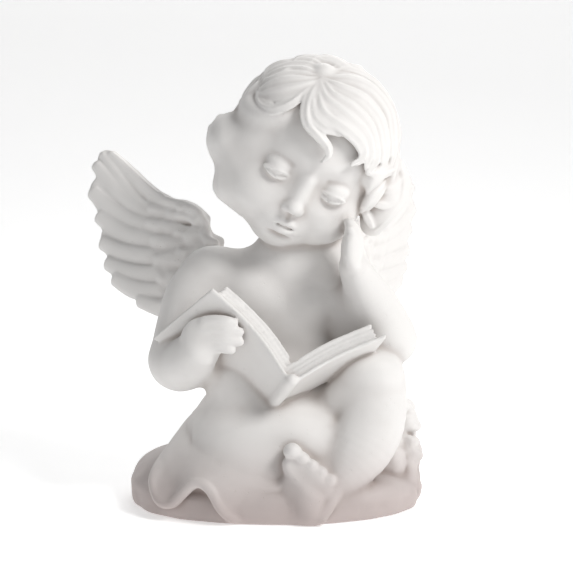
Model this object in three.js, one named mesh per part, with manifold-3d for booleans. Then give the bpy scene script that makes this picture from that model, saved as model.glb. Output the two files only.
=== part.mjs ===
// A seated cherub with wings, reading an open book, cast in one piece in white stone.
// Millimetres, +Z up. The figure looks towards -Y, and +X is its own left-hand side.
// The plinth stands on z = 0, about the origin.
import * as THREE from 'three';
import { mergeVertices } from 'three/addons/utils/BufferGeometryUtils.js';
import Module from 'manifold-3d';

const wasm = await Module();
wasm.setup();

// ---------------------------------------------------------------- driving dimensions
const plinthHalfWidth = 42;
const plinthHalfDepth = 30;
const plinthHeight = 10.6;
const headCentre = [11, -2, 104.4];
const headRoll = 26; // degrees that the head leans to its left, onto the hand
const headTurn = 7; // degrees that the face turns to its left
const headNod = 13; // degrees that the face looks down
const hairRadius = 24;
const faceHeight = 30; // from the middle of the head down to the chin
const wingThickness = 3.2;
const smallestEdge = 0.3; // corners nearer than this, where solids meet, become one
const touchGap = 0.04; // how far two stretches of skin that touch are drawn back
const bookThickness = 3.2; // pages and cover of one half
const spineEnd = [5.7, -27, 41.5]; // the spine of the book, at its head
const rightCorner = [-16.7, -20.5, 65]; // the figure's right-hand cover
const leftCorner = [29.5, -23, 52.8];
const toTail = [-7, 14, -12]; // along the spine, from the head of the book to its tail

// ---------------------------------------------------------------- making solids
const vec = (p) => new THREE.Vector3(...p);
const { degToRad: rad, lerp: mix, clamp } = THREE.MathUtils;

// A closed solid from a geometry: corners within the tolerance merged, faces that vanish
// dropped, and the rest turned outwards.
function solid(geometry, tolerance = 1e-4) {
  geometry.deleteAttribute('normal');
  geometry.deleteAttribute('uv');
  const merged = mergeVertices(geometry, tolerance);
  const vertProperties = new Float32Array(merged.attributes.position.array);
  const index = merged.index.array;
  const corners = [];
  let volume = 0;
  for (let i = 0; i < index.length; i += 3) {
    const [a, b, c] = index.slice(i, i + 3);
    if (a === b || b === c || c === a) continue;
    corners.push(a, b, c);
    const [p, q, r] = [a, b, c].map((v) => new THREE.Vector3().fromArray(vertProperties, 3 * v));
    volume += p.dot(q.cross(r));
  }
  if (volume < 0) corners.reverse();
  const triVerts = new Uint32Array(corners);
  return new wasm.Manifold(new wasm.Mesh({ numProp: 3, vertProperties, triVerts }));
}

const fuse = (solids) => solids.reduce((whole, piece) => whole.add(piece));

// An ellipsoid with three radii.
function ball(centre, radii, across = 10, down = 7) {
  const geometry = new THREE.SphereGeometry(1, across, down);
  geometry.rotateX(Math.PI / 2);
  geometry.scale(...radii);
  geometry.translate(...centre);
  return solid(geometry);
}

// A soft mass about a centre: along each direction its skin lies where a ray leaves the
// farthest of several ellipsoids, and nearly equal ones run into each other.
// Each ellipsoid is [centre, radii]; reach, if given, adds fine relief to a direction.
function mass(centre, ellipsoids, { across = 20, down = 14, sharpness = 14, spin, reach } = {}) {
  const geometry = new THREE.SphereGeometry(1, across, down);
  geometry.rotateX(Math.PI / 2);
  const position = geometry.attributes.position;
  const way = new THREE.Vector3();
  for (let i = 0; i < position.count; i++) {
    way.fromBufferAttribute(position, i).normalize();
    let sum = 0;
    for (const [middle, radii] of ellipsoids) {
      const size = vec(radii);
      const u = way.clone().divide(size);
      const w = vec(middle).divide(size);
      const a = u.dot(u);
      const b = u.dot(w);
      const under = b * b - a * (w.dot(w) - 1);
      if (under <= 0) continue;
      const leave = (b + Math.sqrt(under)) / a;
      if (leave > 0) sum += leave ** sharpness;
    }
    const far = sum ** (1 / sharpness) + (reach ? reach(way) : 0);
    way.multiplyScalar(far);
    if (spin) way.applyQuaternion(spin);
    way.add(vec(centre));
    position.setXYZ(i, way.x, way.y, way.z);
  }
  return solid(geometry);
}

// A limb, lock, feather, finger or roll of cloth: a turned profile bent along a smooth path.
// Each station is [x, y, z, radius]. flat thins the section along front, which is a
// direction, or a function of the point on the path.
function limb(stations, { sides = 8, rings = 5, flat = 1, front = [0.35, -0.8, 0.5] } = {}) {
  const path = new THREE.CatmullRomCurve3(stations.map((s) => vec(s.slice(0, 3))));
  const last = stations.length - 1;
  const radiusAt = (t) => {
    const i = Math.min(Math.floor(t * last), last - 1);
    return mix(stations[i][3], stations[i + 1][3], t * last - i);
  };
  const capSteps = sides > 6 ? 2 : 1;
  const profile = [];
  for (let k = 0; k < capSteps; k++) {
    const angle = (k / capSteps) * (Math.PI / 2);
    profile.push(new THREE.Vector2(radiusAt(0) * Math.sin(angle), -Math.cos(angle)));
  }
  for (let k = 0; k <= rings; k++) profile.push(new THREE.Vector2(radiusAt(k / rings), k));
  for (let k = capSteps - 1; k >= 0; k--) {
    const angle = (k / capSteps) * (Math.PI / 2);
    profile.push(new THREE.Vector2(radiusAt(1) * Math.sin(angle), rings + Math.cos(angle)));
  }
  const geometry = new THREE.LatheGeometry(profile, sides);
  const position = geometry.attributes.position;
  const point = new THREE.Vector3();
  for (let i = 0; i < position.count; i++) {
    point.fromBufferAttribute(position, i);
    const t = clamp(point.y / rings, 0, 1);
    const past = point.y - t * rings; // -1 to 0 on the first cap, 0 to 1 on the last
    const centre = path.getPoint(t);
    const along = path.getTangent(t);
    const facing = typeof front === 'function' ? front(centre) : vec(front);
    facing.addScaledVector(along, -facing.dot(along)).normalize();
    const side = new THREE.Vector3().crossVectors(along, facing);
    centre.addScaledVector(along, past * radiusAt(t));
    centre.addScaledVector(side, point.x).addScaledVector(facing, point.z * flat);
    position.setXYZ(i, centre.x, centre.y, centre.z);
  }
  return solid(geometry);
}

// ---------------------------------------------------------------- plinth, seat and cloth
function plinth() {
  const outline = [
    [0, 0], [0.955, 0], [1, 2.4], [0.985, 6], [0.92, 8.8], [0.8, plinthHeight],
    [0, plinthHeight + 0.8],
  ].map(([r, z]) => new THREE.Vector2(r, z));
  const geometry = new THREE.LatheGeometry(outline, 26);
  geometry.rotateX(Math.PI / 2);
  const position = geometry.attributes.position;
  for (let i = 0; i < position.count; i++) {
    const [x, y] = [position.getX(i), position.getY(i)];
    const corner = 1 + 0.05 * Math.hypot(x, y) * Math.sin(2 * Math.atan2(y, x)) ** 2;
    position.setXY(i, x * corner * plinthHalfWidth, 1 + y * corner * plinthHalfDepth);
  }
  return fuse([solid(geometry), ball([-27, 5, 5.5], [13.2, 15, 9], 11, 5)]);
}

// The rock seat on the figure's left, with knobs of rockwork stacked up its edge.
function rockwork() {
  const seat = mass([26, 8, 8], [[[0, 0, 0], [13.5, 16, 19]], [[4, -9, -3], [9, 11, 10]]], {
    across: 12, down: 7,
  });
  const levels = [4.5, 10.2, 16, 21.4, 26.2];
  const knobs = levels.map((z, i) => {
    const x = 36.6 - 0.9 * (i % 2) - 0.018 * (z - 14) ** 2;
    return ball([x, -3 + 2.3 * i, z], [4.3, 5, 3.1], 6, 4);
  });
  return fuse([seat, ...knobs]);
}

// The cloth over the lap: the right thigh and knee below it, the lap, and the seat behind.
// It spreads out over the plinth at the right-hand corner, where its hem curls.
function drapery() {
  const fold = (way) => {
    const round = Math.atan2(way.x, -way.y);
    const depth = way.y < 0.2 ? 0.4 : 0.9;
    return depth * Math.sin(7 * round + 5 * way.z) * (1 - Math.abs(way.z)) ** 1.5;
  };
  const body = mass(
    [0, 0, 12],
    [
      [[-8.5, -4, 1.5], [21, 19, 16.5]], // thigh
      [[-8, -14, 5], [12.5, 11, 9.5]], // knee
      [[7, -14, 0], [17, 13.5, 12]], // lap
      [[-1, 5, 12], [20.5, 16, 14]], // hips
      [[2, 10, -4], [28, 19, 14]],
    ],
    { across: 22, down: 9, sharpness: 12, reach: fold },
  );
  const hem = [
    [-29.3, -8, 16.9], [-34, -14, 14], [-35.2, -18.5, 9.1], [-31.6, -22.6, 4.2], [-26, -26, 8.6],
    [-21.4, -28, 12.2], [-17, -29, 8.2], [-11, -30, 2.4],
  ];
  const path = new THREE.CatmullRomCurve3(hem.map(vec));
  const waist = new THREE.CatmullRomCurve3([
    vec([-22, 0, 24]), vec([-20, -14, 22]), vec([-10, -24, 17]), vec([0, -25.5, 9]),
  ]);
  const inside = vec([-8, -6, 2]);
  const skirt = new THREE.BoxGeometry(1, 1, 1, 12, 1, 3);
  const position = skirt.attributes.position;
  for (let i = 0; i < position.count; i++) {
    const along = position.getX(i) + 0.5;
    const fall = position.getZ(i) + 0.5;
    const at = waist.getPoint(along).lerp(path.getPoint(along), fall);
    at.z += 2.4 * Math.sin(Math.PI * fall);
    if (position.getY(i) < 0) at.lerp(inside, 0.3);
    position.setXYZ(i, at.x, at.y, at.z);
  }
  const lip = limb(hem.map((p) => [...p, 1.6]), { sides: 4, rings: 12 });
  return fuse([body, solid(skirt), lip]);
}

// ---------------------------------------------------------------- trunk, arms and leg
function trunk() {
  return mass(
    [1.5, 3, 50],
    [
      [[0.5, 0.5, -15], [18.5, 15, 17]], // belly
      [[0.5, 0, 3], [20, 13.5, 15]], // chest
      [[-4, -1, 13], [21, 10.5, 11]], // shoulders
      [[8, 1, 12], [20, 9.5, 11]],
      [[3.5, -3, 22], [10.5, 9, 11]], // neck, which bends to the left
      [[11, 0, 21], [13, 8.5, 11]],
    ],
    { across: 16, down: 11, sharpness: 12 },
  );
}

function rightArm() {
  const upper = limb([[-18, 2, 64, 10], [-25.2, -2, 54, 8.5], [-28, -6, 42.5, 8.2]], { rings: 4 });
  const lower = limb([[-28, -7, 41.6, 8.2], [-25.5, -13, 42.4, 7.4], [-21.5, -18, 46.8, 6]], {
    rings: 4,
  });
  const under = limb([[-27, -8, 41, 7.4], [-18, -10, 41, 7]], { sides: 6, rings: 1 });
  const palm = ball([-18.4, -19.5, 52.2], [7.6, 4.8, 5.6], 8, 6);
  const fingers = [57.0, 54.0, 51.0, 48.2].map((z, i) => {
    const reach = [-10.6, -9.2, -9.4, -11.6][i];
    const finger = [[-18, -22.5, z, 1.9], [-14, -23.9, z, 1.9], [reach, -23.6, z - 0.5, 1.5]];
    return limb(finger, { sides: 5, rings: 2 });
  });
  return fuse([upper, lower, under, palm, ...fingers]);
}

function leftArm() {
  const upper = limb([[17, 4, 62, 11], [24, 0, 55, 10], [32, -6, 48.4, 7.4]], { rings: 4 });
  const lower = limb([[33, -7.5, 48.4, 6.8], [30, -10, 56, 6.4], [21.8, -14, 69, 4.2]], { rings: 4 });
  const palm = ball([21, -15.5, 74.5], [2.9, 5, 6.4], 7, 6);
  const fingers = [0, 1, 2].map((i) => {
    const y = -19 + 3.2 * i;
    const finger = [[21.6, y, 75, 1.9], [21.2, y - 0.6, 79.5, 1.8], [19.6, y - 0.6, 83, 1.4]];
    return limb(finger, { sides: 5, rings: 2 });
  });
  return fuse([upper, lower, palm, ...fingers]);
}

function leftLeg() {
  const thigh = limb([[16, 3, 20, 12], [20.5, -8, 28, 9.4], [26.5, -12, 37, 9.4]], { rings: 4 });
  const shin = limb(
    [[27.4, -12, 36.6, 9.6], [27.2, -15, 28.5, 9.4], [23.8, -18.5, 20, 9.2], [18.4, -21.5, 13.4, 6.2],
      [14.4, -23.5, 9.4, 4.6]],
    { sides: 9, rings: 7 },
  );
  const foot = mass(
    [9.6, -25.4, 12.4],
    [
      [[0, 0, 0], [8.6, 4, 4]], // ball
      [[2, 0.6, -3.4], [6, 3.6, 4.6]], // arch
      [[5.4, 0.6, -7], [5, 4.2, 4.8]], // heel
      [[4, 2.6, 3], [6, 4, 4.4]], // instep
    ],
    {
      across: 13, down: 9, sharpness: 10,
      spin: new THREE.Quaternion().setFromAxisAngle(new THREE.Vector3(0, 1, 0), rad(37)),
    },
  );
  const toes = [0, 1, 2, 3, 4].map((i) => {
    const across = i / 4;
    const size = mix(2.5, 1.7, Math.sqrt(across));
    const root = [mix(5, 16, across), -26.6, mix(20, 11.8, across)];
    const tip = [root[0] - 0.5, root[1] - 2.4, root[2] + 0.6];
    return limb([[...root, size], [...tip, size * 0.95]], { sides: 5, rings: 1 });
  });
  return fuse([thigh, shin, foot, ...toes]);
}

// ---------------------------------------------------------------- the book
// One half of the open book: a box bent between its fore-edge and the spine.
// bulge lifts the middle of the head edge; from and to are heights through the thickness.
function leaf(corner, foreTail, bulge, [from, to], overhang) {
  const geometry = new THREE.BoxGeometry(1, 1, 1, 5, 1, 1);
  const position = geometry.attributes.position;
  const facing = new THREE.Vector3().crossVectors(vec(corner).sub(vec(spineEnd)), vec(toTail));
  if (facing.z < 0) facing.negate();
  facing.normalize();
  for (let i = 0; i < position.count; i++) {
    const across = mix(-overhang, 1, position.getX(i) + 0.5);
    const down = position.getZ(i) + 0.5;
    const high = mix(from, to, position.getY(i) + 0.5);
    const fore = vec(corner).addScaledVector(vec(foreTail), down);
    const spine = vec(spineEnd).addScaledVector(vec(toTail), down);
    const at = fore.lerp(spine, across);
    at.addScaledVector(facing, high + bulge * Math.sin(Math.PI * clamp(across, 0, 1)));
    position.setXYZ(i, at.x, at.y, at.z);
  }
  return solid(geometry);
}

function book() {
  const halves = [
    [rightCorner, [-15.5, 12.5, -15.5], 2.6],
    [leftCorner, [-6, 13, -11], 1],
  ];
  const leaves = halves.flatMap(([corner, foreTail, bulge]) => [
    leaf(corner, foreTail, bulge, [-1.6, -0.2], 0.035),
    leaf(corner, foreTail, bulge, [-1, bookThickness - 1.2], -0.05),
  ]);
  const ends = [0, 1].map((t) => [...vec(spineEnd).addScaledVector(vec(toTail), t).toArray(), 1.7]);
  const spine = limb(ends, { sides: 8, rings: 1 });
  return fuse([...leaves, spine]);
}

// ---------------------------------------------------------------- the head
// The head's own axes: left ear, face and crown.
const headSpin = new THREE.Quaternion()
  .setFromAxisAngle(new THREE.Vector3(0, 1, 0), rad(headRoll))
  .multiply(new THREE.Quaternion().setFromAxisAngle(new THREE.Vector3(0, 0, 1), rad(headTurn)))
  .multiply(new THREE.Quaternion().setFromAxisAngle(new THREE.Vector3(1, 0, 0), rad(headNod)));

// A small feature of the face, at mm towards the left ear, out of the face and upwards.
function feature([left, out, up], radii, across = 6, down = 5) {
  const turned = new THREE.Matrix4().compose(vec(headCentre), headSpin, vec([1, 1, 1]));
  return ball([left, -out, up], radii, across, down).transform(turned.elements);
}

function head() {
  const sockets = (way) =>
    [-1, 1].reduce((sum, side) => {
      const away = way.distanceTo(new THREE.Vector3(0.4 * side, -0.87, -0.3).normalize());
      return sum - 1.1 * Math.exp(-((away / 0.17) ** 2));
    }, 0);
  const face = mass(
    headCentre,
    [
      [[0, 1, 1], [21.4, 21.6, 21]],
      [[0, -4, -12], [20.5, 16, 15]], // cheeks
      [[0, -8.5, -faceHeight + 7.2], [9, 9, 7.2]], // chin
      [[20.5, 1.5, -9], [3, 3.4, 4.6]], // ears
      [[-20.5, 1.5, -9], [3, 3.4, 4.6]],
    ],
    { across: 22, down: 16, sharpness: 18, spin: headSpin, reach: sockets },
  );
  return fuse([
    face,
    feature([0, 18.2, -9], [2, 2.6, 5.4]), // bridge
    feature([0, 20.4, -13.6], [2.9, 2.6, 2.2]), // tip of the nose
    feature([0, 17.6, -19.4], [4.2, 2.2, 1.2]), // lips
    feature([0, 17, -21.4], [3.4, 2.2, 1.3]),
    feature([8.6, 15.8, -7.4], [4, 2.6, 2.2]), // eyes
    feature([-8.6, 15.8, -7.4], [4, 2.6, 2.2]),
  ]);
}

// A point over the scalp: degrees round from the face to the left ear, degrees above the
// ears, and mm clear of the cap of hair.
function onScalp(round, above, lift = 0) {
  const far = hairRadius + lift;
  const level = far * Math.cos(rad(above));
  const way = [level * Math.sin(rad(round)), -level * Math.cos(rad(round)), far * Math.sin(rad(above))];
  return vec(way).applyQuaternion(headSpin).add(vec(headCentre)).toArray();
}

// A lock of hair that lies on the scalp. Each step is [round, above, half width, lift].
function lock(steps) {
  const stations = steps.map(([round, above, half, lift = 0]) => [
    ...onScalp(round, above, lift - 0.9), half,
  ]);
  const front = (point) => point.clone().sub(vec(headCentre));
  const flat = Math.min(1, 2.4 / Math.max(...steps.map((step) => step[2])));
  return limb(stations, { sides: 4, rings: Math.min(steps.length, 4), flat, front });
}

function hair() {
  // the cap ends at a hairline above the brow, and falls in waves at the back of the head
  const waves = (way) => {
    const round = Math.atan2(way.x, -way.y);
    const behind = THREE.MathUtils.smoothstep(Math.abs(round), 1.5, 2.2);
    const strand = 8 * round + 2.2 * Math.sin(5.5 * way.z + (round > 0 ? 0 : 1.5));
    return behind * (1 - way.z ** 4) * (1.2 * Math.sin(strand) + 0.3);
  };
  const radius = hairRadius - 1;
  const cap = mass([0, 0, 0], [[[0, 0, 0], [radius, radius, radius]]], {
    across: 22, down: 11, reach: waves,
  });
  const brow = new THREE.BoxGeometry(36, 40, 60);
  brow.rotateX(rad(-14));
  brow.translate(0, -31, -20);
  const turned = new THREE.Matrix4().compose(vec(headCentre), headSpin, vec([1, 1, 1]));
  const scalp = cap.subtract(solid(brow)).transform(turned.elements);
  const locks = [
    // swept from the parting over the left temple
    [[-42, 57, 1.2], [-30, 38, 1.9, 0.4], [-19, 26, 1.8, 0.6], [-7, 18, 1.4, 0.3], [3, 10, 0.7]],
    [[-36, 58, 1.2], [-22, 41, 2], [-9, 30, 1.7], [4, 20, 0.8]],
    [[-34, 55, 1.3], [-15, 47, 2.2, 0.4], [4, 42, 2.6, 0.6], [21, 35, 2.5, 0.8], [26, 24, 2, 0.5],
      [21, 13, 0.9]],
    [[-35, 57, 1.3], [-7, 54, 2.3, 0.6], [17, 48, 2.6, 0.9], [34, 38, 2.4, 1.1], [38, 24, 2, 0.8],
      [35, 13, 1]],
    [[-37, 60, 1.3], [-2, 62, 2.3, 0.6], [34, 56, 2.7, 1], [48, 41, 2.6, 1.2], [51, 25, 2.2, 0.8],
      [50, 12, 1]],
    [[-39, 63, 1.3], [3, 72, 2.4, 0.9], [65, 65, 2.8, 0.9], [66, 47, 2.8, 1.2], [63, 31, 2.4, 0.6],
      [66, 14, 1.2]],
    [[-52, 66, 1.3], [-60, 82, 2.4, 0.8], [125, 72, 2.8, 0.6], [92, 55, 2.8, 0.8], [82, 36, 2.6, 0.8],
      [84, 16, 1.4, 0.4]],
    // rolled back from the parting over the right temple
    [[-44, 57, 1.6], [-47, 44, 4, 0.8], [-56, 33, 5, 1.2], [-68, 24, 4.4, 1.4], [-82, 19, 2.4, 1]],
    [[-36, 20, 2.6, 0.4], [-45, 11, 3.4, 0.8], [-60, 7, 3.8, 1], [-76, 12, 2.4, 0.8]],
    [[-54, 63, 1.6], [-74, 58, 3, 0.8], [-82, 47, 3.4, 0.6], [-88, 36, 2.4, 0.4]],
    [[-44, 4, 2, 0.2], [-58, -2, 4, 1], [-80, -12, 4.8, 4.4], [-90, -26, 3.4, 5.4]],
    [[-84, -8, 3, 1.6], [-72, -26, 4.4, 3.4], [-68, -40, 4, 4.4], [-75, -52, 2.4, 5.4]],
    [[-104, 40, 2.6], [-98, 20, 4.4, 1], [-98, -6, 4, 1.8], [-92, -30, 3, 2.4]],
    // ringlets in front of the left ear
    [[38, 8, 1.4, 0.4], [56, 4, 2, 1.2], [76, 10, 1.6, 1]],
    [[42, -2, 1.4, 0.2], [62, -8, 2, 1.4], [78, 0, 1.6, 1.4]],
    [[62, -8, 1.6, 0.6], [72, -17, 2, 3.2], [67, -26, 2, 3.6], [58, -27, 1.2, 1.4]],
    [[86, 16, 2.2, 0.8], [79, 4, 2.4, 2.6], [77, -8, 2, 3], [82, -20, 1.4, 1.4]],
  ].map(lock);
  const side = ball(onScalp(-86, -24, -4.5), [8, 8, 10], 8, 6);
  const besideEar = ball(onScalp(76, -10, -3), [5, 5, 7], 7, 5);
  return fuse([scalp, side, besideEar, ...locks]);
}

// ---------------------------------------------------------------- the wings
// A feather's stations are [out, up, half width] in the wing's own plane, root to tip.
const quills = [
  [[8, 16, 3.4], [19, 20.5, 3.6], [29, 26, 3.8], [39, 35, 3.4]],
  [[10, 14, 3], [25, 18, 2], [33, 23, 2], [40.6, 33.6, 1.4]],
  [[9, 10, 4], [26, 15.5, 4], [37, 22.5, 4.4], [43, 28.4, 3.4]],
  [[9, 6, 4], [24, 11, 4.2], [34, 14, 4.6], [41.4, 18.6, 3.4]],
  [[9, 1, 4], [21, 6, 4.2], [31, 7, 4.6], [38.2, 9, 3.4]],
  [[7, -3, 4], [18, 0, 4.2], [28, 0.4, 4.6], [35, 1.4, 3.4]],
  [[6, -5, 4], [15, -5.4, 4.2], [24, -5.4, 4.2], [31, -4.6, 3]],
];
const coverts = [
  [[5, 10, 2.4], [9.4, 19.6, 2.2], [16, 21.4, 2], [24.5, 19, 1.4]],
  [[6, 9, 3.6], [13, 13, 4], [22, 12.4, 2.6]],
  [[6, 1, 3.6], [12, 3, 4.2], [19.5, 1.4, 2.6]],
];

function wing({ root, outward, upward, size }) {
  const out = vec(outward).normalize();
  const up = vec(upward).addScaledVector(out, -vec(upward).dot(out)).normalize();
  const facing = new THREE.Vector3().crossVectors(out, up);
  if (facing.y > 0) facing.negate();
  const place = ([a, b, half], forward) => {
    const point = vec(root).addScaledVector(out, a * size).addScaledVector(up, b * size);
    return [...point.addScaledVector(facing, forward).toArray(), half * size];
  };
  const plate = { sides: 4, rings: 3, flat: wingThickness / 6.5, front: facing.toArray() };
  const feather = (steps, forward) => limb(steps.map((s) => place(s, forward)), plate);
  const long = quills.map((steps, i) => feather(steps, 0.4 * (i % 2)));
  const short = coverts.map((steps) => feather(steps, 1.4));
  const membrane = [[-3, -1, 8], [9, 7, 12.5], [24, 11, 14.5]].map((s) => place(s, -0.3));
  const blade = limb(membrane, { sides: 6, rings: 2, flat: 0.13, front: facing.toArray() });
  return fuse([blade, ...long, ...short]);
}

function wings() {
  const right = wing({
    root: [-13.5, 12, 61.5], outward: [-0.94, 0.34, 0], upward: [0, 0.1, 1], size: 1,
  });
  const left = wing({
    root: [18.4, 13.4, 60], outward: [0.62, 0.78, -0.03], upward: [0.05, 0.1, 1], size: 0.85,
  });
  return fuse([right, left]);
}

// ---------------------------------------------------------------- the statue
function geometryOf(shape) {
  const mesh = shape.getMesh();
  const geometry = new THREE.BufferGeometry();
  geometry.setAttribute('position', new THREE.BufferAttribute(mesh.vertProperties, 3));
  geometry.setIndex(new THREE.BufferAttribute(mesh.triVerts, 1));
  return geometry;
}

// Where one stretch of the skin touches another, draws both back a little.
function partTouching(geometry) {
  const { position } = geometry.attributes;
  const corners = [...geometry.index.array];
  const together = new Map();
  for (const corner of new Set(corners)) {
    const point = new THREE.Vector3().fromBufferAttribute(position, corner);
    const place = point.toArray().map((v) => v.toFixed(3)).join();
    together.set(place, [...(together.get(place) ?? []), corner]);
  }
  const moved = [...together.values()].filter((copies) => copies.length > 1).flat().map((corner) => {
    const middle = new THREE.Vector3();
    let count = 0;
    corners.forEach((other, i) => {
      if (other !== corner) return;
      const first = i - (i % 3);
      for (const near of corners.slice(first, first + 3)) {
        middle.add(new THREE.Vector3().fromBufferAttribute(position, near));
        count += 1;
      }
    });
    const point = new THREE.Vector3().fromBufferAttribute(position, corner);
    const back = middle.divideScalar(count).sub(point).setLength(touchGap);
    return [corner, point.add(back)];
  });
  for (const [corner, point] of moved) position.setXYZ(corner, ...point.toArray());
  return geometry;
}

// Keeps the skin with the most faces, and so drops pockets that are closed in on all sides.
function outerSkin(geometry) {
  const index = geometry.index.array;
  const owner = Array.from({ length: geometry.attributes.position.count }, (_, i) => i);
  const find = (i) => {
    while (owner[i] !== i) i = owner[i] = owner[owner[i]];
    return i;
  };
  for (let i = 0; i < index.length; i += 3) {
    owner[find(index[i + 1])] = find(index[i]);
    owner[find(index[i + 2])] = find(index[i]);
  }
  const faces = {};
  for (const corner of index) faces[find(corner)] = (faces[find(corner)] ?? 0) + 1;
  const largest = Number(Object.keys(faces).reduce((a, b) => (faces[a] > faces[b] ? a : b)));
  geometry.setIndex([...index].filter((corner) => find(corner) === largest));
  return geometry;
}

function statue() {
  const whole = fuse([
    plinth(), rockwork(), drapery(), trunk(), rightArm(), leftArm(), leftLeg(), book(), head(),
    hair(), wings(),
  ]);
  const ground = new THREE.BoxGeometry(300, 300, 40);
  ground.translate(0, 0, -20);
  const standing = whole.subtract(solid(ground));
  return outerSkin(partTouching(geometryOf(solid(geometryOf(standing), smallestEdge))));
}

const whiteStone = new THREE.MeshStandardMaterial({ color: 0xe9e5e1, roughness: 0.62, metalness: 0 });
const cherub = new THREE.Mesh(statue(), whiteStone);
cherub.name = 'cherub';

const part = new THREE.Group();
part.add(cherub);
export default part;
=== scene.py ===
import math
import time
import bpy
import numpy as np
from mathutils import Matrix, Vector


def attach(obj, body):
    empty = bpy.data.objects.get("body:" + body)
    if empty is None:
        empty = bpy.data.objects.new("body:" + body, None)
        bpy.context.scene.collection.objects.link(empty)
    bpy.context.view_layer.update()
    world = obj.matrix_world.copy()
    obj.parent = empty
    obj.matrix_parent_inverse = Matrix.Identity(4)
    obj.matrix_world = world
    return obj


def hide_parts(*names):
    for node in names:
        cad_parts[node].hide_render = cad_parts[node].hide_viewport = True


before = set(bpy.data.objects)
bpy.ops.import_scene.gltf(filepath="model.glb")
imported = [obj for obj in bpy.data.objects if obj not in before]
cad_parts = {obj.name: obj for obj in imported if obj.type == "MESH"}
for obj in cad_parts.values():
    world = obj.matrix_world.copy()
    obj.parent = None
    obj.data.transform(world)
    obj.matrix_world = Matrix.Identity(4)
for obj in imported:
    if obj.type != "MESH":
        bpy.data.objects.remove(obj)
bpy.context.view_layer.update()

# A cherub statue, cast in one piece. The skin runs without a seam from limb to limb, cloth, hair
# and book, which no grid of two parameters can follow, so it is made another way: the distance to
# the stone is worked out on a block of cells as whole arrays, and the skin is laid where it is nought.
# Lengths here are millimetres, +Z up, the figure looks towards -Y, +X is its left-hand side.

startTime = time.time()

block = {
    "low": (-60, -36, -2.5),  # corner of the block of cells
    "high": (47, 49, 133),
    "cell": 0.42,
    "reach": 3,  # distances are kept true this far from the skin
    "mostFaces": 190000,
}


def say(text):
    print("%6.1f s  %s" % (time.time() - startTime, text))


low = np.array(block["low"])
cell = block["cell"]
count = np.ceil((np.array(block["high"]) - low) / cell).astype(int)
axes = [(low[i] + cell * np.arange(count[i])).astype(np.float32) for i in range(3)]


def emptyBlock(part=None):
    shape = count if part is None else [s.stop - s.start for s in part]
    return np.full(tuple(shape), block["reach"] * 2, np.float32)


def window(boxLow, boxHigh, margin):
    # the slices of the block that hold a box, with a margin round it
    first = np.clip(np.floor((np.array(boxLow) - margin - low) / cell).astype(int), 0, count)
    last = np.clip(np.ceil((np.array(boxHigh) + margin - low) / cell).astype(int) + 1, 0, count)
    return tuple(slice(a, max(a, b)) for a, b in zip(first, last))


def cellsIn(part):
    # x, y and z of the cells in a window, ready to broadcast
    x, y, z = (axes[i][part[i]] for i in range(3))
    return x[:, None, None], y[None, :, None], z[None, None, :]


def softLeast(a, b, width):
    # the lesser of two distances, rounded over a given width where they are close:
    # min(a, b) - (width - |a - b|)^2 / (4 width)
    near = np.maximum(width - np.abs(a - b), 0)
    return np.minimum(a, b) - near * near / (4 * width)


def join(field, part, distance, width):
    # adds a shape: the soft least of the field and the shape
    field[part] = softLeast(field[part], distance, width)


def carve(field, part, distance, width):
    # takes a shape away: the soft greatest of the field and the shape turned inside out
    field[part] = -softLeast(-field[part], distance, width)


def turn(x=0, y=0, z=0):
    # rotation matrix: first about X, then Z, then Y, in degrees
    a, b, c = (math.radians(v) for v in (x, y, z))
    aboutX = np.array([[1, 0, 0], [0, math.cos(a), -math.sin(a)], [0, math.sin(a), math.cos(a)]])
    aboutY = np.array([[math.cos(b), 0, math.sin(b)], [0, 1, 0], [-math.sin(b), 0, math.cos(b)]])
    aboutZ = np.array([[math.cos(c), -math.sin(c), 0], [math.sin(c), math.cos(c), 0], [0, 0, 1]])
    return aboutY @ aboutZ @ aboutX


def ownAxes(part, centre, spin):
    # the cells of a window in a shape's own axes
    x, y, z = cellsIn(part)
    x, y, z = x - centre[0], y - centre[1], z - centre[2]
    return [spin[0, i] * x + spin[1, i] * y + spin[2, i] * z for i in range(3)]


def eggDistance(u, v, w, radii):
    # distance to an ellipsoid: with p the point over the radii and q that over the radii again,
    # |p| (|p| - 1) / |q|
    p = np.sqrt((u / radii[0]) ** 2 + (v / radii[1]) ** 2 + (w / radii[2]) ** 2)
    q = np.sqrt((u / radii[0] ** 2) ** 2 + (v / radii[1] ** 2) ** 2 + (w / radii[2] ** 2) ** 2)
    return p * (p - 1) / np.maximum(q, 1e-6)


noSpin = np.eye(3)


def egg(field, centre, radii, width=1, spin=noSpin, away=False):
    # an ellipsoid joined to the stone, or with away taken out of it
    half = np.sqrt((spin**2) @ (np.array(radii, float) ** 2))
    part = window(np.array(centre) - half, np.array(centre) + half, block["reach"])
    distance = eggDistance(*ownAxes(part, centre, spin), radii)
    (carve if away else join)(field, part, distance, width)


def smoothPath(stations, steps):
    # Catmull-Rom through the stations, every column alike, at even parameters
    s = np.array(stations, float)
    ends = np.vstack([2 * s[0] - s[1], s, 2 * s[-1] - s[-2]])
    t = np.linspace(0, len(s) - 1, steps)
    i = np.minimum(t.astype(int), len(s) - 2)
    f = (t - i)[:, None]
    a, b, c, d = ends[i], ends[i + 1], ends[i + 2], ends[i + 3]
    cubic = 3 * b - a - 3 * c + d
    return 0.5 * (2 * b + (c - a) * f + (2 * a - 5 * b + 4 * c - d) * f**2 + cubic * f**3)


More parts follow.
